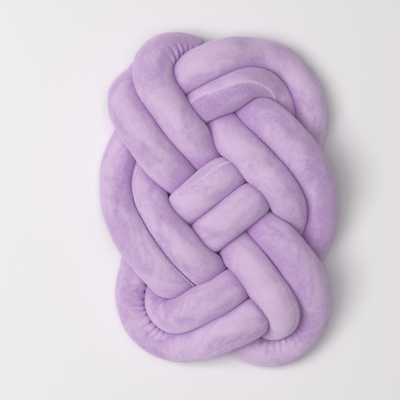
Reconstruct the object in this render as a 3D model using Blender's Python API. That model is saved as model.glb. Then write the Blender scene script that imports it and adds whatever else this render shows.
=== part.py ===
"""A knot cushion: one long stuffed velvet tube, its ends joined, laid twice round a flat knot.

Metres, +Z up. The cushion lies on its back on z = 0 with its long side along Y, and the
origin is under its middle. The tube is one closed solid. Its route is a table of stations,
and each section of it is a round one that is flattened where it meets the surface below or
the halfway plane to the next strand, while the cloth round it keeps the same girth.
"""

import math
from collections import namedtuple

import bmesh
import bpy
import numpy as np

# The cloth and how high the strands lie, in metres.
LOW_GIRTH = 0.130  # round the tube, along the cloth, where it lies packed on the surface
HIGH_GIRTH = 0.147  # the same where it crosses over another strand and is fuller
LOW_AXIS = 0.0175  # height of the tube's middle where it lies on the surface
HIGH_AXIS = 0.0560  # height of the tube's middle where it crosses over
CLOTH_GAP = 0.0016  # left between strands that press on each other
EDGE_ROUNDING = 0.0030  # how far off a flattened side its rounded edge starts
MOST_SWELL = 1.16  # the widest a squeezed section gets, times its free radius
MOST_ROOM = 0.060  # the room counted where nothing is in the way, more than the cloth can reach
HERE = 0.006  # the route this near a section is the section's own

# How finely the solid is made.
RINGS = 328
SIDES = 18
ROUTE_POINTS = 2400
POINTS_A_STATION = 24  # on the first, uneven run of the spline
GIRTH_TRIES = 16  # halvings of the radius that gives a section its girth
SMOOTHING_ROUNDS = 1  # passes that bring down what stands out from its neighbours

MM = 0.001
PILE_COLOUR = (0.53, 0.36, 0.63, 1.0)
PILE_ROUGHNESS = 0.85

# The doubled strand, station by station. Left and right are the two laps of the tube, seen
# along the way it runs: x and y in millimetres, lift 0 on the surface and 1 crossing over.
Station = namedtuple("Station", "place left_x left_y left_lift right_x right_y right_lift")
STATIONS = [Station(*row) for row in (
    ("top left lobe, falling", -75, 157, 0.95, -93, 143, 0.05),
    ("top left lobe, falling", -73, 137, 1.00, -107, 129, 0.25),
    ("long band, upper", -64, 117, 1.00, -106, 111, 0.60),
    ("long band, upper", -52, 99, 1.00, -98, 93, 0.90),
    ("long band, middle", -38, 80, 0.90, -84, 70, 1.00),
    ("long band, lower", -24, 62, 0.62, -65, 47, 0.90),
    ("long band, goes under", -10, 43, 0.25, -44, 25, 0.50),
    ("under the centre band", 6, 22, 0.00, -23, 2, 0.05),
    ("under the centre band", 28, -4, 0.00, -2, -23, 0.00),
    ("bottom right arm, rising", 48, -25, 0.40, 18, -49, 0.42),
    ("bottom right arm", 71, -49, 0.92, 38, -77, 0.96),
    ("bottom right arm, top", 91, -73, 1.00, 56, -102, 1.00),
    ("bottom right lobe", 105, -101, 0.65, 67, -121, 0.92),
    ("bottom right lobe", 111, -128, 0.25, 71, -134, 0.60),
    ("bottom right lobe", 102, -154, 0.02, 64, -144, 0.24),
    ("bottom right lobe, foot", 83, -171, 0.00, 50, -144, 0.02),
    ("bottom right lobe, foot", 56, -176, 0.00, 36, -135, 0.00),
    ("goes under the lower band", 30, -167, 0.00, 23, -123, 0.00),
    ("under the lower band", 5, -150, 0.00, 11, -108, 0.00),
    ("under the lower band", -19, -129, 0.00, -2, -95, 0.20),
    ("left arm, rising", -42, -106, 0.32, -19, -77, 0.68),
    ("left arm, top", -63, -85, 0.84, -39, -59, 1.00),
    ("left arm, top", -82, -64, 1.00, -57, -40, 1.00),
    ("left arm, falling", -100, -40, 0.85, -72, -17, 0.74),
    ("left side", -115, -13, 0.45, -82, 4, 0.38),
    ("left side", -121, 16, 0.10, -85, 26, 0.08),
    ("left side, goes under", -119, 43, 0.00, -77, 48, 0.00),
    ("under the long band", -110, 68, 0.00, -61, 69, 0.00),
    ("under the long band", -93, 95, 0.00, -45, 88, 0.05),
    ("upper arm, rising", -73, 120, 0.10, -30, 104, 0.40),
    ("upper arm, rising", -51, 141, 0.50, -12, 117, 0.80),
    ("upper arm, top", -25, 154, 0.90, 8, 127, 0.95),
    ("upper arm, top", 2, 164, 0.90, 28, 136, 0.80),
    ("top right lobe", 33, 170, 0.50, 48, 136, 0.45),
    ("top right lobe", 65, 166, 0.18, 64, 128, 0.15),
    ("top right lobe", 90, 146, 0.03, 73, 114, 0.03),
    ("top right lobe", 106, 117, 0.00, 73, 99, 0.00),
    ("goes under the right arm", 108, 88, 0.00, 66, 82, 0.00),
    ("under the right arm", 98, 59, 0.00, 54, 65, 0.00),
    ("under the right arm", 79, 33, 0.05, 38, 51, 0.06),
    ("centre band, rising", 56, 12, 0.37, 20, 37, 0.53),
    ("centre band, top", 31, -4, 0.95, 0, 24, 0.97),
    ("centre band, top", 10, -20, 1.00, -19, 10, 1.00),
    ("centre band, falling", -10, -38, 0.74, -38, -4, 0.70),
    ("goes under the left arm", -29, -55, 0.20, -57, -21, 0.17),
    ("under the left arm", -47, -70, 0.00, -77, -36, 0.00),
    ("under the left arm", -61, -86, 0.00, -91, -54, 0.00),
    ("bottom left lobe", -70, -106, 0.05, -97, -80, 0.00),
    ("bottom left lobe", -69, -122, 0.20, -101, -106, 0.00),
    ("bottom left lobe", -57, -132, 0.45, -98, -132, 0.00),
    ("lower band, rising", -37, -130, 0.80, -84, -155, 0.05),
    ("lower band, rising", -18, -122, 1.00, -57, -169, 0.15),
    ("lower band, top", 0, -113, 1.00, -26, -166, 0.50),
    ("lower band, top", 16, -102, 0.76, 0, -154, 0.92),
    ("lower band, goes under", 33, -90, 0.27, 23, -144, 1.00),
    ("under the lower right arm", 49, -75, 0.03, 42, -133, 0.76),
    ("under the lower right arm", 63, -59, 0.00, 61, -120, 0.12),
    ("under the lower right arm", 77, -42, 0.02, 78, -105, 0.00),
    ("right side, rising", 84, -24, 0.25, 96, -84, 0.00),
    ("right arm", 83, -6, 0.60, 109, -57, 0.03),
    ("right arm", 73, 12, 0.93, 119, -27, 0.15),
    ("right arm, top", 56, 31, 1.00, 118, 3, 0.50),
    ("right arm, top", 36, 51, 1.00, 107, 34, 0.92),
    ("right arm, falling", 17, 71, 0.80, 88, 62, 1.00),
    ("goes under the upper arm", 2, 93, 0.38, 65, 86, 0.98),
    ("under the upper arm", -12, 115, 0.03, 41, 108, 0.50),
    ("under the upper arm", -26, 136, 0.00, 23, 131, 0.08),
    ("under the upper arm", -43, 152, 0.00, 2, 154, 0.00),
    ("top left lobe", -61, 160, 0.00, -20, 166, 0.05),
    ("top left lobe", -80, 158, 0.00, -48, 174, 0.40),
)]


def clear_scene():
    """Remove whatever the scene holds."""
    for old in list(bpy.data.objects):
        bpy.data.objects.remove(old, do_unlink=True)


def route_corners():
    """The stations of both laps in the order the tube runs through them, in metres."""
    first_lap = [(s.left_x, s.left_y, s.left_lift) for s in STATIONS]
    second_lap = [(s.right_x, s.right_y, s.right_lift) for s in STATIONS]
    x, y, lift = np.array(first_lap + second_lap).T
    return np.column_stack([x * MM, y * MM, LOW_AXIS + lift * (HIGH_AXIS - LOW_AXIS)])


def closed_spline(corners, count):
    """Evenly spaced points on the smooth closed cubic spline through the corners."""
    steps = np.linalg.norm(np.roll(corners, -1, axis=0) - corners, axis=1)
    size = len(corners)
    system = np.zeros((size, size))
    right_side = np.zeros((size, 3))
    slopes = (np.roll(corners, -1, axis=0) - corners) / steps[:, None]
    for i in range(size):
        before = steps[i - 1]
        after = steps[i]
        system[i, i - 1] += before
        system[i, i] += 2 * (before + after)
        system[i, (i + 1) % size] += after
        right_side[i] = 6 * (slopes[i] - slopes[i - 1])
    bends = np.linalg.solve(system, right_side)
    fine = []
    for i in range(size):
        after = (i + 1) % size
        for t in np.arange(POINTS_A_STATION) / POINTS_A_STATION:
            u = 1 - t
            bow = (u**3 - u) * bends[i] + (t**3 - t) * bends[after]
            fine.append(u * corners[i] + t * corners[after] + bow * steps[i] ** 2 / 6)
    return evenly_spaced(np.array(fine), count)


def evenly_spaced(points, count):
    """The same closed line with its points at equal distances along it."""
    closed = np.vstack([points, points[:1]])
    lengths = np.linalg.norm(np.diff(closed, axis=0), axis=1)
    along = np.concatenate([[0.0], np.cumsum(lengths)])
    wanted = np.arange(count) * along[-1] / count
    return np.column_stack([np.interp(wanted, along, closed[:, k]) for k in range(3)])


def sideways_and_up(points):
    """Two directions across the tube at each point: one level, and one as upright as it can be."""
    along = np.roll(points, -1, axis=0) - np.roll(points, 1, axis=0)
    along /= np.linalg.norm(along, axis=1)[:, None]
    side = np.cross(along, (0.0, 0.0, 1.0))
    side /= np.linalg.norm(side, axis=1)[:, None]
    return side, np.cross(side, along)


def room_around(centre, spokes, route):
    """How far each spoke reaches from the tube's middle before another stretch of it is nearer."""
    away = route - centre
    squared = np.einsum("ij,ij->i", away, away)
    other = squared > HERE**2
    towards = spokes @ away[other].T
    with np.errstate(divide="ignore"):
        halfway = np.where(towards > 0, squared[other] / (2 * towards), np.inf)
    return np.minimum(halfway.min(axis=1) - CLOTH_GAP / 2, MOST_ROOM)


def soft_least(radius, room):
    """The lesser of the free radius and the room, with a rounded edge between the two."""
    share = np.clip(0.5 + (radius - room) / (2 * EDGE_ROUNDING), 0.0, 1.0)
    return radius + share * (room - radius) - EDGE_ROUNDING * share * (1 - share)


def reach_of_section(centre, spokes, room):
    """How far the cloth stands out along each spoke, with the same girth however it is pressed."""
    lift = (centre[2] - LOW_AXIS) / (HIGH_AXIS - LOW_AXIS)
    cloth = LOW_GIRTH + min(max(lift, 0.0), 1.0) * (HIGH_GIRTH - LOW_GIRTH)
    smallest = cloth / (2 * math.pi)
    largest = smallest * MOST_SWELL
    for _ in range(GIRTH_TRIES):
        radius = (smallest + largest) / 2
        reach = soft_least(radius, room)
        ring = on_surface(centre + spokes * reach[:, None])
        girth = np.linalg.norm(np.roll(ring, -1, axis=0) - ring, axis=1).sum()
        if girth < cloth:
            smallest = radius
        else:
            largest = radius
    return reach


def on_surface(points):
    """The points, with any that would sink into the surface brought level with it."""
    return np.column_stack([points[:, :2], np.maximum(points[:, 2], 0.0)])


def without_peaks(reach):
    """The reach of every spoke, with what stands out from its neighbours brought down to them."""
    for _ in range(SMOOTHING_ROUNDS):
        across = np.roll(reach, 1, axis=1) + np.roll(reach, -1, axis=1)
        along = np.roll(reach, 1, axis=0) + np.roll(reach, -1, axis=0)
        reach = np.minimum(reach, (across + along) / 4)
    return reach


def knot_route():
    """The line that the tube's middle follows, as closely spaced points."""
    return closed_spline(route_corners(), ROUTE_POINTS)


def tube_rings():
    """All the rings of the tube, one after the other round the knot."""
    route = knot_route()
    centres = evenly_spaced(route, RINGS)
    side, up = sideways_and_up(centres)
    turns = 2 * math.pi * np.arange(SIDES) / SIDES
    spokes = np.sin(turns)[:, None] * side[:, None, :] + np.cos(turns)[:, None] * up[:, None, :]
    reach = []
    for centre, around in zip(centres, spokes):
        reach.append(reach_of_section(centre, around, room_around(centre, around, route)))
    reach = without_peaks(np.array(reach))
    rings = centres[:, None, :] + spokes * reach[:, :, None]
    return np.array([on_surface(ring) for ring in rings])


def centred(rings):
    """The rings moved so that the origin is under the middle of their box."""
    low = rings.reshape(-1, 3).min(axis=0)
    high = rings.reshape(-1, 3).max(axis=0)
    return rings - np.array([(low[0] + high[0]) / 2, (low[1] + high[1]) / 2, 0.0])


def velvet():
    """The tube's cloth: short lavender pile."""
    material = bpy.data.materials.new("lavender_velvet")
    material.use_nodes = True
    shader = material.node_tree.nodes["Principled BSDF"]
    shader.inputs["Base Color"].default_value = PILE_COLOUR
    shader.inputs["Roughness"].default_value = PILE_ROUGHNESS
    shader.inputs["Metallic"].default_value = 0.0
    return material


def knot_tube():
    """The stuffed tube as one closed body."""
    rings = centred(tube_rings())
    mesh = bpy.data.meshes.new("knot_tube")
    shape = bmesh.new()
    corners = [[shape.verts.new(point) for point in ring] for ring in rings]
    for i, ring in enumerate(corners):
        following = corners[(i + 1) % len(corners)]
        for j in range(SIDES):
            k = (j + 1) % SIDES
            shape.faces.new((ring[j], ring[k], following[k], following[j]))
    bmesh.ops.recalc_face_normals(shape, faces=shape.faces)
    shape.to_mesh(mesh)
    shape.free()
    mesh.shade_smooth()
    mesh.materials.append(velvet())
    tube = bpy.data.objects.new("knot_tube", mesh)
    bpy.context.scene.collection.objects.link(tube)


clear_scene()
knot_tube()
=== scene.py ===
"""A knot cushion dressed for the camera: one stuffed velvet tube, laid twice round a flat knot.

Metres, +Z up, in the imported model's frame. The tube is made again from the stations of its
route, finely enough to carry the gathers on its tight bends, its hand-sewn seam and its soft
lumps, and it stands for the plain solid. The stage has a pale floor and soft light.
"""

import math
from collections import namedtuple

import bpy
import numpy as np
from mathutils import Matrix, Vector, noise
from mathutils.bvhtree import BVHTree


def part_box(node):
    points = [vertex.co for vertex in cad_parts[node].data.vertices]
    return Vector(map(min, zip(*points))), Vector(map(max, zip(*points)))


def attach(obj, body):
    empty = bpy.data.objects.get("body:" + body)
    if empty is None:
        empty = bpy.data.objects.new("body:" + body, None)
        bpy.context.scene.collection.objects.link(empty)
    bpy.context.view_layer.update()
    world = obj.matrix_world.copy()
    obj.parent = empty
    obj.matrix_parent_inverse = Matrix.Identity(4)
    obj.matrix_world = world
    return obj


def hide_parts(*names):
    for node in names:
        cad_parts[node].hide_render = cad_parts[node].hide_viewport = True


bl_info = {
    "name": "Knot Cushion",
    "version": (1, 0, 0),
    "blender": (4, 5, 0),
    "location": "3D View > Sidebar > Knot Cushion",
    "description": "A stuffed velvet tube laid in a flat knot, with its seam and a plain stage",
    "category": "Object",
}

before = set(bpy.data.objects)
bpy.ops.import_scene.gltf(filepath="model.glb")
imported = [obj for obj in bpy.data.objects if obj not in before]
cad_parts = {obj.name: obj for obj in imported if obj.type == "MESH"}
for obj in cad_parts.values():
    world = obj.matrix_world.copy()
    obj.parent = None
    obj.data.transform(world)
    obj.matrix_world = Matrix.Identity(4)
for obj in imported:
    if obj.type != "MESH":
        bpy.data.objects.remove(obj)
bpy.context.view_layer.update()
SOLID_NODE = "knot_tube"
TUBE_NAME = "velvet_tube"
SEAM_NAME = "seam_stitches"
MM = 0.001

# The doubled strand, station by station. Left and right are the two laps of the tube, seen
# along the way it runs: x and y in millimetres, lift 0 on the surface and 1 crossing over.
Station = namedtuple("Station", "place left_x left_y left_lift right_x right_y right_lift")
STATIONS = [Station(*row) for row in (
    ("top left lobe, falling", -75, 157, 0.95, -93, 143, 0.05),
    ("top left lobe, falling", -73, 137, 1.00, -107, 129, 0.25),
    ("long band, upper", -64, 117, 1.00, -106, 111, 0.60),
    ("long band, upper", -52, 99, 1.00, -98, 93, 0.90),
    ("long band, middle", -38, 80, 0.90, -84, 70, 1.00),
    ("long band, lower", -24, 62, 0.62, -65, 47, 0.90),
    ("long band, goes under", -10, 43, 0.25, -44, 25, 0.50),
    ("under the centre band", 6, 22, 0.00, -23, 2, 0.05),
    ("under the centre band", 28, -4, 0.00, -2, -23, 0.00),
    ("bottom right arm, rising", 48, -25, 0.40, 18, -49, 0.42),
    ("bottom right arm", 71, -49, 0.92, 38, -77, 0.96),
    ("bottom right arm, top", 91, -73, 1.00, 56, -102, 1.00),
    ("bottom right lobe", 105, -101, 0.65, 67, -121, 0.92),
    ("bottom right lobe", 111, -128, 0.25, 71, -134, 0.60),
    ("bottom right lobe", 102, -154, 0.02, 64, -144, 0.24),
    ("bottom right lobe, foot", 83, -171, 0.00, 50, -144, 0.02),
    ("bottom right lobe, foot", 56, -176, 0.00, 36, -135, 0.00),
    ("goes under the lower band", 30, -167, 0.00, 23, -123, 0.00),
    ("under the lower band", 5, -150, 0.00, 11, -108, 0.00),
    ("under the lower band", -19, -129, 0.00, -2, -95, 0.20),
    ("left arm, rising", -42, -106, 0.32, -19, -77, 0.68),
    ("left arm, top", -63, -85, 0.84, -39, -59, 1.00),
    ("left arm, top", -82, -64, 1.00, -57, -40, 1.00),
    ("left arm, falling", -100, -40, 0.85, -72, -17, 0.74),
    ("left side", -115, -13, 0.45, -82, 4, 0.38),
    ("left side", -121, 16, 0.10, -85, 26, 0.08),
    ("left side, goes under", -119, 43, 0.00, -77, 48, 0.00),
    ("under the long band", -110, 68, 0.00, -61, 69, 0.00),
    ("under the long band", -93, 95, 0.00, -45, 88, 0.05),
    ("upper arm, rising", -73, 120, 0.10, -30, 104, 0.40),
    ("upper arm, rising", -51, 141, 0.50, -12, 117, 0.80),
    ("upper arm, top", -25, 154, 0.90, 8, 127, 0.95),
    ("upper arm, top", 2, 164, 0.90, 28, 136, 0.80),
    ("top right lobe", 33, 170, 0.50, 48, 136, 0.45),
    ("top right lobe", 65, 166, 0.18, 64, 128, 0.15),
    ("top right lobe", 90, 146, 0.03, 73, 114, 0.03),
    ("top right lobe", 106, 117, 0.00, 73, 99, 0.00),
    ("goes under the right arm", 108, 88, 0.00, 66, 82, 0.00),
    ("under the right arm", 98, 59, 0.00, 54, 65, 0.00),
    ("under the right arm", 79, 33, 0.05, 38, 51, 0.06),
    ("centre band, rising", 56, 12, 0.37, 20, 37, 0.53),
    ("centre band, top", 31, -4, 0.95, 0, 24, 0.97),
    ("centre band, top", 10, -20, 1.00, -19, 10, 1.00),
    ("centre band, falling", -10, -38, 0.74, -38, -4, 0.70),
    ("goes under the left arm", -29, -55, 0.20, -57, -21, 0.17),
    ("under the left arm", -47, -70, 0.00, -77, -36, 0.00),
    ("under the left arm", -61, -86, 0.00, -91, -54, 0.00),
    ("bottom left lobe", -70, -106, 0.05, -97, -80, 0.00),
    ("bottom left lobe", -69, -122, 0.20, -101, -106, 0.00),
    ("bottom left lobe", -57, -132, 0.45, -98, -132, 0.00),
    ("lower band, rising", -37, -130, 0.80, -84, -155, 0.05),
    ("lower band, rising", -18, -122, 1.00, -57, -169, 0.15),
    ("lower band, top", 0, -113, 1.00, -26, -166, 0.50),
    ("lower band, top", 16, -102, 0.76, 0, -154, 0.92),
    ("lower band, goes under", 33, -90, 0.27, 23, -144, 1.00),
    ("under the lower right arm", 49, -75, 0.03, 42, -133, 0.76),
    ("under the lower right arm", 63, -59, 0.00, 61, -120, 0.12),
    ("under the lower right arm", 77, -42, 0.02, 78, -105, 0.00),
    ("right side, rising", 84, -24, 0.25, 96, -84, 0.00),
    ("right arm", 83, -6, 0.60, 109, -57, 0.03),
    ("right arm", 73, 12, 0.93, 119, -27, 0.15),
    ("right arm, top", 56, 31, 1.00, 118, 3, 0.50),
    ("right arm, top", 36, 51, 1.00, 107, 34, 0.92),
    ("right arm, falling", 17, 71, 0.80, 88, 62, 1.00),
    ("goes under the upper arm", 2, 93, 0.38, 65, 86, 0.98),
    ("under the upper arm", -12, 115, 0.03, 41, 108, 0.50),
    ("under the upper arm", -26, 136, 0.00, 23, 131, 0.08),
    ("under the upper arm", -43, 152, 0.00, 2, 154, 0.00),
    ("top left lobe", -61, 160, 0.00, -20, 166, 0.05),
    ("top left lobe", -80, 158, 0.00, -48, 174, 0.40),
)]

# Where the seam lies round the tube: station along both laps, and degrees from the top of the
# tube towards its right-hand side. The tube turns over once in its whole length.
SEAM_TURNS = (
    (0, 110), (5, 120), (9, 115), (14, 110), (18, 72), (20, 34), (21.5, 29), (23, 45),
    (25, 82), (28, 100), (32, 105), (36, 110), (40, 120), (50, 130), (60, 150), (66, 180),
    (72, 220), (77, 268), (81, 302), (82.5, 320), (83.5, 326), (86, 304), (90, 306), (93, 309),
    (97, 318), (99.5, 332), (101, 347), (102.5, 374), (103.5, 377), (107, 385), (111, 392),
    (113, 402), (115, 432), (117, 462), (120, 460), (121.5, 428), (122.7, 406), (124.5, 388),
    (126, 410), (128.5, 452), (133, 462), (139, 468),
)

# Where the cloth gathers on the inside of a bend: first and last station along both laps, how
# deep against the deepest, and how far over the tube, as the cosine from the inside of the bend.
Gather = namedtuple("Gather", "first last depth start")
GATHERS = (
    Gather(-3.1, 0.1, 0.8, -0.60),
    Gather(13.0, 17.2, 0.7, -0.30),
    Gather(46.6, 49.6, 0.9, -0.25),
    Gather(117.1, 121.1, 0.8, -0.50),
)

# Where the cloth's two ends are joined: a station that the upper arm covers.
JOIN_STATION = 66.5

# The route and the rings of points that stand across it. Lengths are in metres.
ROUTE_POINTS = 2400
POINTS_A_STATION = 24
BEND_STEPS = 5  # the route's points either side that a bend is measured over
RINGS = 2080
COLUMNS = 48
SEAM_COLUMNS = (0.0, 0.8, 1.8, 3.2)  # millimetres from the seam to the columns beside it
SEAM_EVENING = 0.03  # share of the tube's length over which the seam's turns are evened out
SPACING_POINTS = 9600  # places at which the need for rings is worked out
TIGHTEST = 6.28  # girth over bend radius where the rings stand closest
GENTLE = 0.3  # share of that below which a bend takes no more rings than a straight stretch
BEND_CROWDING = 0.8  # more rings on the tightest bend, as a share
GATHER_CROWDING = 1.4  # more rings in the gathers, as a share
CROWDED = 0.3  # depth of the gathers, against the deepest, that takes all of those

# How the rings are filled and pressed.
HERE = 0.006  # the route this near a ring is the ring's own
NEARBY = 0.130  # the route beyond this can't press on a ring
MOST_ROOM = 0.060
GIRTH_TRIES = 16
MOST_SWELL = 1.16
SETTLING_ROUNDS = 12
SETTLING_SHARES = (0.4, 0.2, 0.1)  # a spoke itself, each one along the tube, each one round it

# The cloth simulation, on every second ring and column.
SIMULATED = slice(None, None, 2)
STEPS_A_MOMENT = 6
CLOTH_MASS = 0.001  # kilograms at each of its points
SHEAR = 0.25  # how strongly it resists shear, against its tension
HELD_ROOM = 0.004  # cloth with less room than this starts to be held
PRESSED_HEIGHT = 0.0005  # cloth below this lies on the surface
ROOM_TAKEN = 0.8  # share of its room that the cloth may fill
TINY = 1e-9

# Lumps of filling, gathers and the seam. Noise takes so many waves to the metre.
FREE_ROOM = 0.006  # cloth with more room than this shows all its lumps
LUMP_WAVES = 34.0
SMALL_LUMP_WAVES = 75.0
SMALL_LUMPS = 0.5  # against the large ones
GATHER_FADE = 0.5  # share of a gathered stretch, from its middle, at which its folds fade
WANDER_WAVES = 26.0  # how the distance between the folds varies
WANDER = 1.3  # in folds
SWAY_WAVES = 30.0  # how the folds bend on their way round the tube
SWAY_ROUND = 1.6
SWAY = 0.5  # in folds
UNEQUAL_WAVES = 110.0  # how the folds' lengths vary
UNEQUAL = 0.4  # as the cosine from the inside of the bend
FOLD_SHARPNESS = 0.6  # power of the wave across the folds: less than 1 narrows their creases
FOLD_RUN = 0.8  # what a fold takes to reach its depth, as that cosine
GROOVE_WIDTH = 0.0015

# A stitch: how far across the seam as a share of its half width, and millimetres above the cloth.
STITCH_ARCH = ((-1.0, -0.5), (-0.75, 0.25), (0.0, 0.55), (0.75, 0.25), (1.0, -0.5))
STITCH_SLANT = 0.25  # along the seam for each length across it
STITCH_LEAN = 1.2  # how steeply the thread turns down at the ends
STITCH_END = 0.3  # thickness of a stitch's ends, as a share
THREAD_SIDES = 6
PRESSED_THREAD = 0.0003  # how far a stitch may sink into the surface that it is pressed on

# How much of the sky the cloth faces: looked for from every fourth ring and every second column.
SKY_RINGS = 4
SKY_COLUMNS = 2
SKY_RAYS = 30
SKY_START = 0.001  # the rays start this far off the cloth
SKY_REACH = 0.120
LEAST_FACING = 0.02  # rays flatter to the cloth than this are left out

# The marks in the brushed nap: waves to the metre along the cloth and round it, where the noise
# starts, its detail, roughness and distortion, and how strongly the mark turns the pile.
Marks = namedtuple("Marks", "waves first detail roughness distortion turn")
SWATHES = Marks((8.0, 13.0, 1.0), (33.3, 17.1, 47.7), 2.0, 0.5, 0.6, 0.8)
PATCHES = Marks((24.0, 40.0, 1.0), (0.0, 0.0, 0.0), 3.0, 0.6, 0.9, 0.9)
STROKES = Marks((210.0, 130.0, 1.0), (0.0, 0.0, 0.0), 3.0, 0.6, 0.4, 0.36)
CROWN_PAINTED_LIGHT = 0.3  # painted light: how far the open sky on the crowns shifts the pile towards its lighter colour
NAP_AND_PAINTED_LIGHT_RANGE = (1.03, 1.49)  # the sum of the marks and the painted crown light where the colour is all that of the pile against the light, and all that with it
PAINTED_SHADE_RANGE = (0.12, 0.88)  # how open to the sky the cloth is where it takes all of the painted fold shade, and where it takes none
PAINTED_SHADE_PATCHES = 0.3  # how much the patches add to that
FLECK_WAVES = 560.0
TIPS_FROM = 0.36  # the flecks' value from which they show the tips of the pile
TIPS_SHARE = 1.2
NAP_DEPTH = 0.0008
NAP_SHARE = 0.6  # of the flecks and of the strokes in the relief
PLY_WAVES = 1600.0  # the twist of the sewing thread

# The stage.
FLOOR_HALF = 4.0
FLOOR_WAVES = 3.0
FLOOR_DROP = 0.0004  # the floor is drawn just under the lowest stitches
LAMP_COLOUR = (1.0, 0.99, 0.985)
AIR_COLOUR = (0.97, 0.96, 1.0, 1.0)
EYE_OVER = (-0.0221, 0.0006)  # the point that the camera stands over


def closed_spline(corners, count):
    """Evenly spaced points on the smooth closed cubic spline through the corners, and the
    place of each corner along them from 0 to 1."""
    steps = np.linalg.norm(np.roll(corners, -1, axis=0) - corners, axis=1)
    size = len(corners)
    system = np.zeros((size, size))
    right_side = np.zeros((size, 3))
    slopes = (np.roll(corners, -1, axis=0) - corners) / steps[:, None]
    for i in range(size):
        before = steps[i - 1]
        after = steps[i]
        system[i, i - 1] += before
        system[i, i] += 2 * (before + after)
        system[i, (i + 1) % size] += after
        right_side[i] = 6 * (slopes[i] - slopes[i - 1])
    bends = np.linalg.solve(system, right_side)
    fine = []
    for i in range(size):
        after = (i + 1) % size
        for t in np.arange(POINTS_A_STATION) / POINTS_A_STATION:
            u = 1 - t
            bow = (u**3 - u) * bends[i] + (t**3 - t) * bends[after]
            fine.append(u * corners[i] + t * corners[after] + bow * steps[i] ** 2 / 6)
    fine = np.array(fine)
    places = lengths_along(fine)
    return at_places(fine, np.arange(count) / count), places[:-1:POINTS_A_STATION] / places[-1]


def lengths_along(points):
    """How far along a closed line each of its points lies, with the whole length last."""
    closed = np.vstack([points, points[:1]])
    return np.concatenate([[0.0], np.cumsum(np.linalg.norm(np.diff(closed, axis=0), axis=1))])


def at_places(points, places):
    """Points of a closed line at places that run from 0 to 1 along it."""
    along = lengths_along(points)
    closed = np.vstack([points, points[:1]])
    wanted = places * along[-1]
    return np.column_stack([np.interp(wanted, along, closed[:, k]) for k in range(3)])


def at_places_of(values, places):
    """Values that are given evenly round the closed tube, read at places from 0 to 1."""
    known = np.arange(len(values) + 1) / len(values)
    closed = np.vstack([values, values[:1]])
    return np.column_stack([np.interp(places, known, column) for column in closed.T])


def sideways_and_up(points):
    """Two directions across the tube at each point: one level, and one as upright as it can be."""
    along = np.roll(points, -1, axis=0) - np.roll(points, 1, axis=0)
    along /= np.linalg.norm(along, axis=1)[:, None]
    side = np.cross(along, (0.0, 0.0, 1.0))
    side /= np.linalg.norm(side, axis=1)[:, None]
    return side, np.cross(side, along)


def smooth_step(low, high, value):
    """0 below low, 1 above high, with a smooth rise between them."""
    share = np.clip((value - low) / (high - low), 0.0, 1.0)
    return share * share * (3 - 2 * share)


def on_surface(points):
    """The points, with any that would sink into the surface brought level with it."""
    return np.concatenate([points[..., :2], np.maximum(points[..., 2:], 0.0)], axis=-1)


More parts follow.
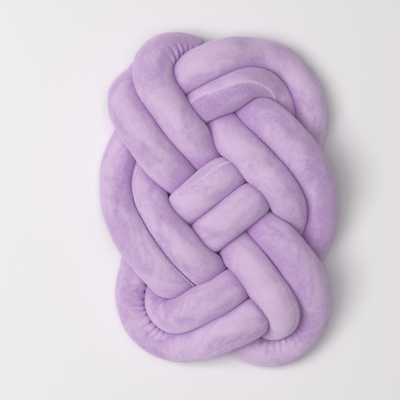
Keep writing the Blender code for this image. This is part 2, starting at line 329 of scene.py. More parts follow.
class Tube:
    """The stuffed tube as rings of points: column 0 of every ring lies on the seam."""

    def __init__(self, look, rings, columns):
        self.look = look
        self.route, self.station_places = closed_spline(self.corners(), ROUTE_POINTS)
        self.length = lengths_along(self.route)[-1]
        self.places = self.ring_places(rings)
        self.centres = at_places(self.route, self.places)
        side, up = sideways_and_up(self.centres)
        self.turns = self.seam_turns()[:, None] + columns[None, :]
        self.spokes = (
            np.sin(self.turns)[:, :, None] * side[:, None, :]
            + np.cos(self.turns)[:, :, None] * up[:, None, :]
        )
        self.room = self.room_around()
        self.reach = np.minimum(settled(self.filled()), self.room)
        self.points = on_surface(self.centres[:, None, :] + self.spokes * self.reach[:, :, None])

    def corners(self):
        """The stations of both laps in the order the tube runs through them, in metres."""
        first_lap = [(s.left_x, s.left_y, s.left_lift) for s in STATIONS]
        second_lap = [(s.right_x, s.right_y, s.right_lift) for s in STATIONS]
        x, y, lift = np.array(first_lap + second_lap).T
        low = self.look.low_axis
        return np.column_stack([x * MM, y * MM, low + lift * (self.look.high_axis - low)])

    def place_of(self, station):
        """The place along the tube, from 0 to 1, of a station number that may be a fraction."""
        numbers = np.arange(-len(self.station_places), 2 * len(self.station_places))
        around = np.concatenate([self.station_places + lap for lap in (-1, 0, 1)])
        return float(np.interp(station, numbers, around))

    def bend_at(self, places):
        """The bend of the route at each place, as a vector towards the inside of the bend."""
        step = self.length / ROUTE_POINTS
        before = np.roll(self.route, BEND_STEPS, axis=0)
        after = np.roll(self.route, -BEND_STEPS, axis=0)
        bend = (before + after - 2 * self.route) / (BEND_STEPS * step) ** 2
        return at_places_of(bend, places)

    def ring_places(self, rings):
        """Where the rings lie along the tube: closer together on its tight bends."""
        even = np.arange(SPACING_POINTS) / SPACING_POINTS
        tightness = np.linalg.norm(self.bend_at(even), axis=1) * self.look.low_girth / TIGHTEST
        need = 1 + BEND_CROWDING * smooth_step(GENTLE, 1.0, tightness)
        need += GATHER_CROWDING * smooth_step(0.0, CROWDED, self.gathered(even)[0])
        total = np.concatenate([[0.0], np.cumsum(need)])
        return np.interp(np.arange(rings) / rings * total[-1], total, np.append(even, 1.0))

    def gathered(self, places):
        """At each place along the tube: how deep its gathers are, and how far over they start."""
        depth = np.zeros(len(places))
        start = np.zeros(len(places))
        for gather in GATHERS:
            middle = (self.place_of(gather.first) + self.place_of(gather.last)) / 2
            half = self.place_of(gather.last) - middle
            off = np.abs((places - middle + 0.5) % 1 - 0.5) / half
            near = gather.depth * (1 - smooth_step(GATHER_FADE, 1.0, off))
            depth += near
            start = np.where(near > 0, gather.start, start)
        return depth, start

    def seam_turns(self):
        """How far round the tube the seam lies at each ring, in radians from the top."""
        stations, degrees = np.array(SEAM_TURNS).T
        numbers = np.arange(len(self.station_places) + 1)
        places = np.interp(stations, numbers, np.append(self.station_places, 1.0))
        places = np.append(places, places[0] + 1)
        degrees = np.append(degrees, degrees[0] + 360)
        raw = np.interp(self.places, places, degrees)
        window = np.hanning(int(len(raw) * SEAM_EVENING) | 1)
        window /= window.sum()
        reach = len(window) // 2
        padded = np.concatenate([raw[-reach:] - 360, raw, raw[:reach] + 360])
        return np.radians(np.convolve(padded, window, mode="valid"))

    def room_around(self):
        """How far each spoke reaches from the tube's middle before another stretch is nearer."""
        room = np.empty(self.spokes.shape[:2])
        for i, (centre, spokes) in enumerate(zip(self.centres, self.spokes)):
            away = self.route - centre
            squared = np.einsum("ij,ij->i", away, away)
            other = (squared > HERE**2) & (squared < NEARBY**2)
            towards = spokes @ away[other].T
            with np.errstate(divide="ignore"):
                halfway = np.where(towards > 0, squared[other] / (2 * towards), np.inf)
            room[i] = halfway.min(axis=1) - self.look.cloth_gap / 2
        return np.minimum(room, MOST_ROOM)

    def soft_least(self, radius):
        """The lesser of the free radius and the room, with a rounded edge between the two."""
        edge = self.look.edge_rounding
        share = np.clip(0.5 + (radius - self.room) / (2 * edge), 0.0, 1.0)
        return radius + share * (self.room - radius) - edge * share * (1 - share)

    def girths(self):
        """The length of the cloth round each ring, which is fuller where the tube crosses over."""
        look = self.look
        lift = (self.centres[:, 2] - look.low_axis) / (look.high_axis - look.low_axis)
        return look.low_girth + np.clip(lift, 0.0, 1.0) * (look.high_girth - look.low_girth)

    def filled(self):
        """The reach of every spoke of a ring whose cloth keeps its girth however it is pressed."""
        cloth = self.girths()
        smallest = cloth / (2 * math.pi)
        largest = smallest * MOST_SWELL
        for _ in range(GIRTH_TRIES):
            radius = (smallest + largest) / 2
            reach = self.soft_least(radius[:, None])
            ring = on_surface(self.centres[:, None, :] + self.spokes * reach[:, :, None])
            girth = np.linalg.norm(np.roll(ring, -1, axis=1) - ring, axis=2).sum(axis=1)
            smallest = np.where(girth < cloth, radius, smallest)
            largest = np.where(girth < cloth, largest, radius)
        return reach


def settled(reach):
    """The reach of every spoke, evened out with its neighbours as stuffed cloth is."""
    itself, each_along, each_around = SETTLING_SHARES
    for _ in range(SETTLING_ROUNDS):
        along = np.roll(reach, 1, axis=0) + np.roll(reach, -1, axis=0)
        around = np.roll(reach, 1, axis=1) + np.roll(reach, -1, axis=1)
        reach = itself * reach + each_along * along + each_around * around
    return reach


def column_turns(girth):
    """The columns' places round the tube in radians from the seam, closer together beside it."""
    beside = [2 * math.pi * far * MM / girth for far in SEAM_COLUMNS]
    others = COLUMNS - 2 * len(beside) + 1
    rest = np.linspace(beside[-1], 2 * math.pi - beside[-1], others + 2)[1:-1]
    return np.array(beside + list(rest) + [2 * math.pi - turn for turn in beside[:0:-1]])


def grid_normals(points):
    """The outward direction at each point of a grid of rings."""
    along = np.roll(points, -1, axis=0) - np.roll(points, 1, axis=0)
    around = np.roll(points, -1, axis=1) - np.roll(points, 1, axis=1)
    normals = np.cross(around, along)
    return normals / np.linalg.norm(normals, axis=2)[:, :, None]


def grid_faces(rings, columns):
    """The faces between closed rings, as four point numbers each."""
    ring, column = np.meshgrid(np.arange(rings), np.arange(columns), indexing="ij")
    after = (ring + 1) % rings
    beside = (column + 1) % columns
    corners = (
        ring * columns + column,
        ring * columns + beside,
        after * columns + beside,
        after * columns + column,
    )
    return np.stack(corners, axis=-1).reshape(-1, 4).tolist()


def open_sky(points):
    """How much of the sky each point of the cloth faces, from 0 in the folds to 1 on a crown; the
    velvet paints shade into the folds and light onto the crowns by it.
    """
    near = points[::SKY_RINGS, ::SKY_COLUMNS]
    normals = grid_normals(points)[::SKY_RINGS, ::SKY_COLUMNS]
    shape = near.shape[:2]
    cloth = BVHTree.FromPolygons(near.reshape(-1, 3).tolist(), grid_faces(*shape))
    heights = (np.arange(SKY_RAYS) + 0.5) / SKY_RAYS
    turns = np.arange(SKY_RAYS) * math.pi * (3 - math.sqrt(5))  # the golden angle
    across = np.sqrt(1 - heights ** 2)
    rays = np.stack([across * np.cos(turns), across * np.sin(turns), heights], axis=1)
    facing = np.maximum(normals.reshape(-1, 3) @ rays.T, 0.0)
    starts = (near + SKY_START * normals).reshape(-1, 3)
    directions = [Vector(ray) for ray in rays]
    seen = np.zeros(len(starts))
    for number, start in enumerate(starts):
        origin = Vector(start)
        for ray in np.flatnonzero(facing[number] > LEAST_FACING):
            if cloth.ray_cast(origin, directions[ray], SKY_REACH)[0] is None:
                seen[number] += facing[number, ray]
    sky = (seen / heights.sum()).reshape(shape)
    for axis, step in ((0, SKY_RINGS), (1, SKY_COLUMNS)):
        while step > 1:
            sky = doubled(sky, axis)
            step //= 2
    return np.clip(sky, 0.0, 1.0)


def in_scene(name, data):
    """A new object of this data, linked to the scene."""
    made = bpy.data.objects.new(name, data)
    bpy.context.scene.collection.objects.link(made)
    return made


def grid_mesh(name, points):
    """A smooth closed mesh of the rings."""
    mesh = bpy.data.meshes.new(name)
    mesh.from_pydata(points.reshape(-1, 3).tolist(), [], grid_faces(*points.shape[:2]))
    mesh.shade_smooth()
    return mesh


def map_cloth(mesh, points, along, length):
    """Map the mesh to the flat cloth: metres along the tube, and metres round it from the seam."""
    rings, columns = points.shape[:2]
    ring, column = np.meshgrid(np.arange(rings), np.arange(columns), indexing="ij")
    after = (ring + 1) % rings
    ahead = np.where(along[after] < along[ring], along[after] + length, along[after])
    steps = np.linalg.norm(np.roll(points, -1, axis=1) - points, axis=2)
    around = np.concatenate([np.zeros((rings, 1)), np.cumsum(steps, axis=1)], axis=1)
    u = np.stack([along[ring], along[ring], ahead, ahead], axis=-1)
    v = np.stack([
        around[ring, column],
        around[ring, column + 1],
        around[after, column + 1],
        around[after, column],
    ], axis=-1)
    layer = mesh.uv_layers.new(name="cloth")
    layer.data.foreach_set("uv", np.stack([u, v], axis=-1).reshape(-1))


class Wire:
    """The output of a shader node. Arithmetic on it adds Math nodes to the same material."""

    def __init__(self, tree, socket=None):
        self.tree = tree
        self.socket = socket

    def node(self, kind, sockets=None, output=0, **settings):
        """A new node: its settings first, then its sockets' values or links."""
        made = self.tree.nodes.new(kind)
        for name, value in settings.items():
            setattr(made, name, value)
        for name, value in (sockets or {}).items():
            if isinstance(value, Wire):
                self.tree.links.new(value.socket, made.inputs[name])
            else:
                made.inputs[name].default_value = value
        return Wire(self.tree, made.outputs[output] if len(made.outputs) else None)

    def maths(self, operation, first, second):
        return self.node("ShaderNodeMath", {0: first, 1: second}, operation=operation)

    def __add__(self, other):
        return self.maths("ADD", self, other)

    def __radd__(self, other):
        return self.maths("ADD", other, self)

    def __sub__(self, other):
        return self.maths("SUBTRACT", self, other)

    def __rsub__(self, other):
        return self.maths("SUBTRACT", other, self)

    def __mul__(self, other):
        return self.maths("MULTIPLY", self, other)

    def __rmul__(self, other):
        return self.maths("MULTIPLY", other, self)


def new_material(name):
    """An empty material and the wire that its nodes start from."""
    material = bpy.data.materials.new(name)
    material.use_nodes = True
    material.node_tree.nodes.clear()
    return material, Wire(material.node_tree)


def blend(start, share, first, second):
    """A colour between two others."""
    return start.node(
        "ShaderNodeMix",
        {"Factor": share, "A": first, "B": second},
        output=2,
        data_type="RGBA",
    )


def clouds(start, waves, detail, roughness=0.5):
    """Noise through the whole piece, with so many waves to the metre."""
    return start.node("ShaderNodeTexNoise", {
        "Vector": start.node("ShaderNodeTexCoord", output=3),
        "Scale": waves,
        "Detail": detail,
        "Roughness": roughness,
    })


def finish_material(start, sockets):
    """Lead a surface shader with these sockets to the material's output."""
    surface = start.node("ShaderNodeBsdfPrincipled", sockets)
    start.node("ShaderNodeOutputMaterial", {"Surface": surface})


def velvet(look):
    """Short velvet, its nap marked by brushing in patches where the pile lies one way or the other,
    with painted shade deep in the folds, painted light on the crowns, and a soft sheen.
    """
    material, start = new_material("lavender_velvet")
    cloth = start.node("ShaderNodeUVMap", uv_map="cloth")

    def brushed_in(marks):
        return start.node("ShaderNodeTexNoise", {
            "Vector": start.node(
                "ShaderNodeVectorMath",
                {0: cloth, 1: marks.waves, 2: marks.first},
                operation="MULTIPLY_ADD",
            ),
            "Scale": 1.0,
            "Detail": marks.detail,
            "Roughness": marks.roughness,
            "Distortion": marks.distortion,
        })

    def spread(value, ends):
        return start.node(
            "ShaderNodeMapRange",
            {"Value": value, "From Min": ends[0], "From Max": ends[1]},
            interpolation_type="SMOOTHSTEP",
        )

    # The sky attribute steers the painted shade in the folds and the painted light on the crowns.
    sky = start.node("ShaderNodeAttribute", output=2, attribute_name="sky")
    swathes = brushed_in(SWATHES)
    patches = brushed_in(PATCHES)
    strokes = brushed_in(STROKES)
    flecks = clouds(start, FLECK_WAVES, 3.0, 0.8)
    turned = swathes * SWATHES.turn + patches * PATCHES.turn + strokes * STROKES.turn
    # Painted light: the crowns, which see most sky, are pushed towards the lighter pile colour and
    # the sides towards the darker one; the marks add the nap's own random patches.
    nap_and_painted_light_share = spread(turned + sky * CROWN_PAINTED_LIGHT, NAP_AND_PAINTED_LIGHT_RANGE)
    nap_and_painted_light = blend(start, nap_and_painted_light_share, look.nap_against_and_painted_shade, look.nap_with_and_painted_light)
    # Painted shade: where the cloth sees little sky, deep in the folds between the strands, its
    # colour goes over to the dark fold colour; the patches only break up the edge of that shade.
    out_of_painted_shade = spread(sky + patches * PAINTED_SHADE_PATCHES, PAINTED_SHADE_RANGE)
    with_painted_fold_shade = blend(start, out_of_painted_shade, look.painted_fold_shade, nap_and_painted_light)
    colour = blend(start, (flecks - TIPS_FROM) * TIPS_SHARE, with_painted_fold_shade, look.nap_tips)
    relief = start.node("ShaderNodeBump", {
        "Strength": look.nap_relief,
        "Distance": NAP_DEPTH,
        "Height": flecks * NAP_SHARE + strokes * NAP_SHARE,
    })
    finish_material(start, {
        "Base Color": colour,
        "Roughness": 0.92 - nap_and_painted_light_share * 0.08,
        "Sheen Weight": look.sheen,
        "Sheen Roughness": look.sheen_spread,
        "Sheen Tint": look.sheen_colour,
        "Specular IOR Level": 0.18,
        "Normal": relief,
    })
    return material


def thread(look):
    """Smooth sewing thread, a little lighter than the cloth."""
    material, start = new_material("seam_thread")
    ply = clouds(start, PLY_WAVES, 2.0)
    colour = blend(start, ply, look.thread_shade, look.thread_light)
    relief = start.node("ShaderNodeBump", {"Strength": 0.4, "Distance": 0.0002, "Height": ply})
    finish_material(start, {
        "Base Color": colour,
        "Roughness": 0.55 + ply * 0.1,
        "Sheen Weight": 0.2,
        "Normal": relief,
    })
    return material


def paper_floor(look):
    """A plain pale floor with a faint unevenness."""
    material, start = new_material("pale_floor")
    colour = blend(start, clouds(start, FLOOR_WAVES, 2.0), look.floor_shade, look.floor_light)
    finish_material(start, {
        "Base Color": colour,
        "Roughness": 0.9,
        "Specular IOR Level": 0.1,
    })
    return material


class CushionTube(bpy.types.PropertyGroup):
    """Sizes of the stuffed tube."""

    low_girth: bpy.props.FloatProperty(
        name="Girth where packed",
        description="Length of the cloth round the tube where it lies on the surface",
        default=0.130,
        unit="LENGTH",
    )
    high_girth: bpy.props.FloatProperty(
        name="Girth where full",
        description="Length of the cloth round the tube where it crosses over another strand",
        default=0.147,
        unit="LENGTH",
    )
    low_axis: bpy.props.FloatProperty(
        name="Lower layer",
        description="Height of the tube's middle where it lies on the surface",
        default=0.0175,
        unit="LENGTH",
    )
    high_axis: bpy.props.FloatProperty(
        name="Upper layer",
        description="Height of the tube's middle where it crosses over",
        default=0.0560,
        unit="LENGTH",
    )
    cloth_gap: bpy.props.FloatProperty(
        name="Gap between strands",
        description="What is left between strands that press on each other",
        default=0.0003,
        unit="LENGTH",
    )
    edge_rounding: bpy.props.FloatProperty(
        name="Edge rounding",
        description="How far off a flattened side its rounded edge starts",
        default=0.0018,
        unit="LENGTH",
    )
    lumps: bpy.props.FloatProperty(
        name="Lumps",
        description="How far the uneven filling pushes the cloth in and out",
        default=0.0008,
        unit="LENGTH",
    )
    gathers: bpy.props.FloatProperty(
        name="Gathers",
        description="Depth of the gathers on the inside of the tight bends",
        default=0.0053,
        unit="LENGTH",
    )
    gather_pitch: bpy.props.FloatProperty(
        name="Gather pitch",
        description="Distance between the gathers, along the middle of the tube",
        default=0.0100,
        unit="LENGTH",
    )
    stitch_pitch: bpy.props.FloatProperty(
        name="Stitch pitch",
        description="Distance between the stitches of the seam",
        default=0.0033,
        unit="LENGTH",
    )
    stitch_width: bpy.props.FloatProperty(
        name="Stitch width",
        description="Length of a stitch across the seam",
        default=0.0043,
        unit="LENGTH",
    )
    thread: bpy.props.FloatProperty(
        name="Thread",
        description="Thickness of the sewing thread",
        default=0.0010,
        unit="LENGTH",
    )
    pressure: bpy.props.FloatProperty(
        name="Filling pressure",
        description="Pressure of the filling in the cloth simulation",
        default=350.0,
    )
    tension: bpy.props.FloatProperty(
        name="Cloth tension",
        description="How strongly the cloth resists stretching in the simulation",
        default=5.0,
    )
    stiffness: bpy.props.FloatProperty(
        name="Cloth stiffness",
        description="How strongly the cloth resists folding in the simulation",
        default=0.01,
    )
    cut_length: bpy.props.FloatProperty(
        name="Cut length",
        description="Length of the sewn tube before stuffing, as a share of its length in the knot",
        default=1.0,
        min=0.5,
        max=1.2,
    )
    moments: bpy.props.IntProperty(
        name="Moments",
        description="Frames of the cloth simulation",
        default=20,
    )
    most_move: bpy.props.FloatProperty(
        name="Most movement",
        description="How far the simulation may move the cloth",
        default=0.006,
        unit="LENGTH",
    )
    seam_depth: bpy.props.FloatProperty(
        name="Seam depth",
        description="How far the seam draws the cloth in",
        default=0.0010,
        unit="LENGTH",
    )


class CushionCloth(bpy.types.PropertyGroup):
    """Colours and finish of the velvet and its thread, with the shade and light painted into the
    velvet.
    """

    # Painted shade: the dark purple put deep in the folds between the strands, where shade falls.
    painted_fold_shade: bpy.props.FloatVectorProperty(
        name="Pile in the folds",
        description="Colour of the unworn pile deep between the strands",
        default=(0.32, 0.105, 0.435, 1.0),
        size=4,
        subtype="COLOR",
    )
    # Also painted shade: the sides, which see less sky, take more of this darker colour; otherwise
    # it marks the nap's random patches.
    nap_against_and_painted_shade: bpy.props.FloatVectorProperty(
        name="Pile against the light",
        description="Colour of the patches where the pile lies towards the eye",
        default=(0.362, 0.197, 0.453, 1.0),
        size=4,
        subtype="COLOR",
    )
    # Also painted light: the open crowns take more of this lighter colour; otherwise it marks the
    # nap's random patches.
    nap_with_and_painted_light: bpy.props.FloatVectorProperty(
        name="Pile with the light",
        description="Colour of the patches where the pile lies away",
        default=(0.585, 0.428, 0.62, 1.0),
        size=4,
        subtype="COLOR",
    )
    nap_tips: bpy.props.FloatVectorProperty(
        name="Pile tips",
        description="Colour of the tips of the pile",
        default=(0.68, 0.57, 0.71, 1.0),
        size=4,
        subtype="COLOR",
    )
    sheen_colour: bpy.props.FloatVectorProperty(
        name="Sheen colour",
        description="Colour of the soft light on the edges of the pile",
        default=(0.82, 0.65, 0.88, 1.0),
        size=4,
        subtype="COLOR",
    )
    sheen: bpy.props.FloatProperty(
        name="Sheen",
        description="Strength of the soft light on the edges of the pile",
        default=1.0,
        min=0.0,
        max=1.0,
    )
    sheen_spread: bpy.props.FloatProperty(
        name="Sheen spread",
        description="How far the sheen spreads in from the edges",
        default=0.70,
        min=0.0,
        max=1.0,
    )
    nap_relief: bpy.props.FloatProperty(
        name="Pile relief",
        description="Strength of the fine relief of the pile",
        default=0.5,
        min=0.0,
        max=1.0,
    )
    thread_shade: bpy.props.FloatVectorProperty(
        name="Thread, shaded",
        description="Darker colour of the sewing thread",
        default=(0.72, 0.58, 0.78, 1.0),
        size=4,
        subtype="COLOR",
    )
    thread_light: bpy.props.FloatVectorProperty(
        name="Thread, lit",
        description="Lighter colour of the sewing thread",
        default=(0.91, 0.82, 0.94, 1.0),
        size=4,
        subtype="COLOR",
    )


class CushionStage(bpy.types.PropertyGroup):
    """The floor, the lights and the camera."""

    floor_light: bpy.props.FloatVectorProperty(
        name="Floor, lighter",
        description="Lighter colour of the floor",
        default=(0.80, 0.79, 0.80, 1.0),
        size=4,
        subtype="COLOR",
    )
    floor_shade: bpy.props.FloatVectorProperty(
        name="Floor, darker",
        description="Darker colour of the floor",
        default=(0.78, 0.77, 0.78, 1.0),
        size=4,
        subtype="COLOR",
    )
    window_power: bpy.props.FloatProperty(
        name="Window light",
        description="Power of the large soft light at the left",
        default=45.0,
        unit="POWER",
    )
    window_place: bpy.props.FloatVectorProperty(
        name="Window place",
        description="Place of the large soft light, which faces the cushion",
        default=(-1.34, 0.05, 2.23),
        subtype="TRANSLATION",
        unit="LENGTH",
    )
    ceiling_power: bpy.props.FloatProperty(
        name="Ceiling light",
        description="Power of the soft light straight above",
        default=24.0,
        unit="POWER",
    )
    ceiling_height: bpy.props.FloatProperty(
        name="Ceiling height",
        description="Height of the soft light straight above",
        default=2.6,
        unit="LENGTH",
    )
    lamp_size: bpy.props.FloatProperty(
        name="Lamp size",
        description="Width of the two soft lights",
        default=1.3,
        unit="LENGTH",
    )
    room_light: bpy.props.FloatProperty(
        name="Room light",
        description="Strength of the even light from all round",
        default=0.16,
        min=0.0,
    )
    eye_height: bpy.props.FloatProperty(
        name="Camera height",
        description="Height of the camera over the surface",
        default=1.7,
        unit="LENGTH",
    )
    lens: bpy.props.FloatProperty(
        name="Lens",
        description="Focal length of the camera in millimetres",
        default=126.6,
        min=1.0,
    )


class CUSHION_OT_velvet_tube(bpy.types.Operator):
    """Make the stuffed velvet tube, laid twice round the knot"""

    bl_idname = "cushion.velvet_tube"
    bl_label = "Velvet tube"

    def execute(self, context):
        sizes = context.scene.cushion_tube
        tube = Tube(sizes, RINGS, column_turns(sizes.low_girth))
        points = dressed(tube)
        low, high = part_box(SOLID_NODE)
        flat = points.reshape(-1, 3)
        off = (flat.min(axis=0) + flat.max(axis=0)) / 2
        off -= ((low.x + high.x) / 2, (low.y + high.y) / 2, 0.0)
        off[2] = 0.0
        points -= off
        mesh = grid_mesh(TUBE_NAME, points)
        along = (tube.places - tube.place_of(JOIN_STATION)) % 1 * tube.length
        map_cloth(mesh, points, along, tube.length)
        # The sky attribute steers the velvet's painted shade in the folds and painted light on the
        # crowns.
        sky = mesh.attributes.new("sky", "FLOAT", "POINT")
        sky.data.foreach_set("value", open_sky(points).reshape(-1))
        mesh.materials.append(velvet(context.scene.cushion_cloth))
        piece = in_scene(TUBE_NAME, mesh)
        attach(piece, "root")
        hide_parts(SOLID_NODE)
        return {"FINISHED"}


def doubled(field, axis):
    """A closed row of values with a smooth one put in between each two."""
    before = np.roll(field, 1, axis=axis)
    after = np.roll(field, -1, axis=axis)
    later = np.roll(field, -2, axis=axis)
    between = (9 * (field + after) - before - later) / 16
    joined = np.stack([field, between], axis=axis + 1)
    shape = list(field.shape)
    shape[axis] *= 2
    return joined.reshape(shape)


def stuffed(tube, look):
    """How far the filling moves the cloth: Blender's cloth, sewn as an unknotted tube, is blown
    up in the place it has in the knot, and held where it is pressed on other cloth."""
    points = tube.points[SIMULATED, SIMULATED]
    room = (tube.room - tube.reach)[SIMULATED, SIMULATED]
    rings, columns = points.shape[:2]
    mesh = grid_mesh("cloth_at_work", points)
    worker = in_scene("cloth_at_work", mesh)
    worker.shape_key_add(name="in_the_knot")
    sewn = worker.shape_key_add(name="as_sewn")
    sewn.data.foreach_set("co", as_sewn(tube).reshape(-1))
    held = worker.vertex_groups.new(name="held")
    weights = 1 - smooth_step(0.0, HELD_ROOM, room).reshape(-1)
    lying = points[:, :, 2].reshape(-1) < PRESSED_HEIGHT
    weights = np.where(lying, 1.0, weights)
    for number, weight in enumerate(weights):
        if weight > 0:
            held.add([number], float(weight), "REPLACE")
    cloth = worker.modifiers.new("Cloth", "CLOTH")
    settings = cloth.settings
    settings.quality = STEPS_A_MOMENT
    settings.mass = CLOTH_MASS
    settings.tension_stiffness = look.tension
    settings.compression_stiffness = look.tension
    settings.shear_stiffness = look.tension * SHEAR
    settings.bending_stiffness = look.stiffness
    for kind in ("tension", "compression", "shear", "bending"):
        setattr(settings, kind + "_damping", 0.0)
    settings.use_pressure = True
    settings.uniform_pressure_force = look.pressure
    settings.effector_weights.gravity = 0.0
    settings.vertex_group_mass = "held"
    settings.rest_shape_key = sewn
    cloth.collision_settings.use_collision = False
    for moment in range(1, look.moments + 1):
        bpy.context.scene.frame_set(moment)
    graph = bpy.context.evaluated_depsgraph_get()
    after = worker.evaluated_get(graph).to_mesh()
    blown = np.empty(rings * columns * 3)
    after.vertices.foreach_get("co", blown)
    moved = blown.reshape(rings, columns, 3) - points
    bpy.context.scene.frame_set(1)
    bpy.data.objects.remove(worker, do_unlink=True)
    bpy.data.meshes.remove(mesh)
    moved = doubled(doubled(moved, 0), 1)
    most = np.minimum(look.most_move, ROOM_TAKEN * np.maximum(tube.room - tube.reach, 0.0))
    far = np.linalg.norm(moved, axis=2) + TINY
    return moved * np.minimum(1.0, most / far)[:, :, None]


def as_sewn(tube):
    """The same rings before knotting: the tube laid in one big ring, round and unpressed."""
    turns = column_turns(tube.look.low_girth)[SIMULATED]
    around = 2 * math.pi * tube.places[SIMULATED, None]
    big = tube.look.cut_length * tube.length / (2 * math.pi)
    small = tube.girths()[SIMULATED, None] / (2 * math.pi)
    outward = big + small * np.cos(turns)
    upward = small * np.sin(turns)
    return np.stack([outward * np.cos(around), outward * np.sin(around), upward], axis=-1)


def dressed(tube):
    """The tube's points with its lumps, its gathers and its seam."""
    look = tube.look
    free = smooth_step(0.0, FREE_ROOM, tube.room - tube.reach)
    normals = grid_normals(tube.points)
    lumps = np.array([
        noise.noise(spot * LUMP_WAVES) + SMALL_LUMPS * noise.noise(spot * SMALL_LUMP_WAVES)
        for spot in map(Vector, tube.points.reshape(-1, 3))
    ]).reshape(tube.points.shape[:2])
    push = look.lumps * lumps * free
    push -= look.seam_depth * seam_groove(tube)
    push -= look.gathers * gathers(tube)
    moved = stuffed(tube, look)
    return on_surface(tube.points + moved + normals * push[:, :, None])


def seam_groove(tube):
    """How far the seam draws in each column, from 0 to 1."""
    beside = np.minimum(np.arange(COLUMNS), COLUMNS - np.arange(COLUMNS))
    turn = column_turns(tube.look.low_girth)
    far_off = np.minimum(turn, 2 * math.pi - turn) * tube.look.low_girth / (2 * math.pi)
    depth = np.exp(-((far_off / GROOVE_WIDTH) ** 2))
    return np.where(beside <= len(SEAM_COLUMNS) + 1, depth, 0.0)[None, :]


def gathers(tube):
    """How deep the gathers are at each point, from 0 to 1: folds across the inside of bends."""
    bend = tube.bend_at(tube.places)
    bend /= np.linalg.norm(bend, axis=1)[:, None] + TINY
    bend[:, 2] = 0.0
    inside = np.einsum("ijk,ik->ij", tube.spokes, bend)
    along = tube.places * tube.length
    wander = np.array([noise.noise(Vector((a * WANDER_WAVES, 7.3, 0.0))) for a in along])
    unequal = np.array([noise.noise(Vector((a * UNEQUAL_WAVES, 3.1, 5.0))) for a in along])
    rounds = zip(along, np.sin(tube.turns) * SWAY_ROUND, np.cos(tube.turns) * SWAY_ROUND)
    sway = np.array([
        [noise.noise(Vector((a * SWAY_WAVES, s, c))) for s, c in zip(sines, cosines)]
        for a, sines, cosines in rounds
    ])
    phase = along[:, None] / tube.look.gather_pitch + WANDER * wander[:, None] + SWAY * sway
    fold = 1 - np.abs(np.sin(math.pi * phase)) ** FOLD_SHARPNESS
    depth, start = tube.gathered(tube.places)
    reach = inside - start[:, None] + UNEQUAL * unequal[:, None]
    return depth[:, None] * smooth_step(0.0, FOLD_RUN, reach) * fold


class CUSHION_OT_seam_stitches(bpy.types.Operator):
    """Sew the tube's long seam with short slanted stitches"""

    bl_idname = "cushion.seam_stitches"
    bl_label = "Seam stitches"

    def execute(self, context):
        sizes = context.scene.cushion_tube
        cloth = bpy.data.objects[TUBE_NAME].data
        flat = np.empty(len(cloth.vertices) * 3)
        cloth.vertices.foreach_get("co", flat)
        rings = flat.reshape(RINGS, COLUMNS, 3)
        points, faces = stitches(rings, sizes)
        mesh = bpy.data.meshes.new(SEAM_NAME)
        mesh.from_pydata(points.tolist(), [], faces)
        mesh.shade_smooth()
        mesh.materials.append(thread(context.scene.cushion_cloth))
        piece = in_scene(SEAM_NAME, mesh)
        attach(piece, "root")
        return {"FINISHED"}


def stitches(rings, sizes):
    """Points and faces of the stitches: short bent lengths of thread across the seam."""
    seam = rings[:, 0]
    length = lengths_along(seam)[-1]
    count = int(length / sizes.stitch_pitch)
    places = (np.arange(count) + 0.5) / count
    ring_of = np.interp(places * length, lengths_along(seam), np.arange(len(seam) + 1))
    around = np.roll(rings, -1, axis=1) - np.roll(rings, 1, axis=1)
    middle = read_at(seam, ring_of)
    upward = read_at(grid_normals(rings)[:, 0], ring_of)
    across = read_at(around[:, 0], ring_of)
    across /= np.linalg.norm(across, axis=1)[:, None]
    along = np.cross(upward, across)
    half = sizes.stitch_width / 2
    radius = sizes.thread / 2
    sides = THREAD_SIDES
    points = []
    for share, sink in STITCH_ARCH:
        core = middle + across * (share * half) + along * (STITCH_SLANT * share * half)
        core = core + upward * (sink * MM)
        lean = -math.atan(share * STITCH_LEAN)
        out = upward * math.cos(lean) - across * math.sin(lean)
        thick = radius if abs(share) < 1 else STITCH_END * radius
        for k in range(sides):
            turn = 2 * math.pi * k / sides
            points.append(core + thick * (math.cos(turn) * out + math.sin(turn) * along))
    points = np.stack(points, axis=1)
    points[..., 2] = np.maximum(points[..., 2], -PRESSED_THREAD)
    each = points.shape[1]
    faces = []
    for ring in range(len(STITCH_ARCH) - 1):
        for k in range(sides):
            after = (k + 1) % sides
            low = ring * sides
            high = low + sides
            faces.append((low + k, low + after, high + after, high + k))
    caps = [tuple(range(sides))[::-1], tuple(range(each - sides, each))]
    starts = np.arange(count) * each
    quads = (starts[:, None, None] + np.array(faces)[None]).reshape(-1, 4).tolist()
    ends = (starts[:, None, None] + np.array(caps)[None]).reshape(-1, sides).tolist()
    return points.reshape(-1, 3), quads + ends


def read_at(values, place):
    """Values that are given at each ring, read at ring numbers that may be fractions."""
    low = np.floor(place).astype(int)
    share = (place - low)[:, None]
    return values[low % len(values)] * (1 - share) + values[(low + 1) % len(values)] * share


def soft_light(name, place, power, size):
    """A square soft lamp that faces the middle of the cushion."""
    light = bpy.data.lights.new(name, "AREA")
    light.energy = power
    light.size = size
    light.color = LAMP_COLOUR
    lamp = in_scene(name, light)
    lamp.location = place
    lamp.rotation_euler = (-Vector(place)).to_track_quat("-Z", "Y").to_euler()


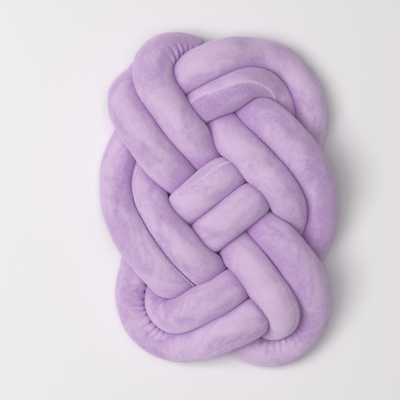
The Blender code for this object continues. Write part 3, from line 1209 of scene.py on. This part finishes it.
class CUSHION_OT_stage(bpy.types.Operator):
    """Set up the pale floor, the soft light and the camera over the cushion"""

    bl_idname = "cushion.stage"
    bl_label = "Stage"

    def execute(self, context):
        look = context.scene.cushion_stage
        scene = context.scene
        scene.view_settings.view_transform = "Standard"
        floor = bpy.data.meshes.new("floor")
        sides = ((-1, -1), (1, -1), (1, 1), (-1, 1))
        corners = [(x * FLOOR_HALF, y * FLOOR_HALF, -FLOOR_DROP) for x, y in sides]
        floor.from_pydata(corners, [], [(0, 1, 2, 3)])
        floor.materials.append(paper_floor(look))
        in_scene("floor", floor)
        world = bpy.data.worlds.new("room")
        world.use_nodes = True
        air = world.node_tree.nodes["Background"]
        air.inputs["Color"].default_value = AIR_COLOUR
        air.inputs["Strength"].default_value = look.room_light
        scene.world = world
        soft_light("window", look.window_place, look.window_power, look.lamp_size)
        soft_light("ceiling", (0.0, 0.0, look.ceiling_height), look.ceiling_power, look.lamp_size)
        view = bpy.data.cameras.new("eye")
        view.lens = look.lens
        eye = in_scene("eye", view)
        eye.location = (*EYE_OVER, look.eye_height)
        scene.camera = eye
        return {"FINISHED"}


class CUSHION_PT_making(bpy.types.Panel):
    """The steps of making the cushion"""

    bl_label = "Knot Cushion"
    bl_idname = "CUSHION_PT_making"
    bl_space_type = "VIEW_3D"
    bl_region_type = "UI"
    bl_category = "Knot Cushion"

    def draw(self, context):
        for step in STEPS:
            self.layout.operator(step.bl_idname)


STEPS = (CUSHION_OT_velvet_tube, CUSHION_OT_seam_stitches, CUSHION_OT_stage)
GROUPS = {"cushion_tube": CushionTube, "cushion_cloth": CushionCloth, "cushion_stage": CushionStage}


def register():
    for group in GROUPS.values():
        bpy.utils.register_class(group)
    for name, group in GROUPS.items():
        setattr(bpy.types.Scene, name, bpy.props.PointerProperty(type=group))
    for step in STEPS:
        bpy.utils.register_class(step)
    bpy.utils.register_class(CUSHION_PT_making)


def unregister():
    bpy.utils.unregister_class(CUSHION_PT_making)
    for step in reversed(STEPS):
        bpy.utils.unregister_class(step)
    for name in GROUPS:
        delattr(bpy.types.Scene, name)
    for group in reversed(GROUPS.values()):
        bpy.utils.unregister_class(group)


def main():
    register()
    bpy.ops.cushion.velvet_tube()
    bpy.ops.cushion.seam_stitches()
    bpy.ops.cushion.stage()


if __name__ == "__main__":
    main()
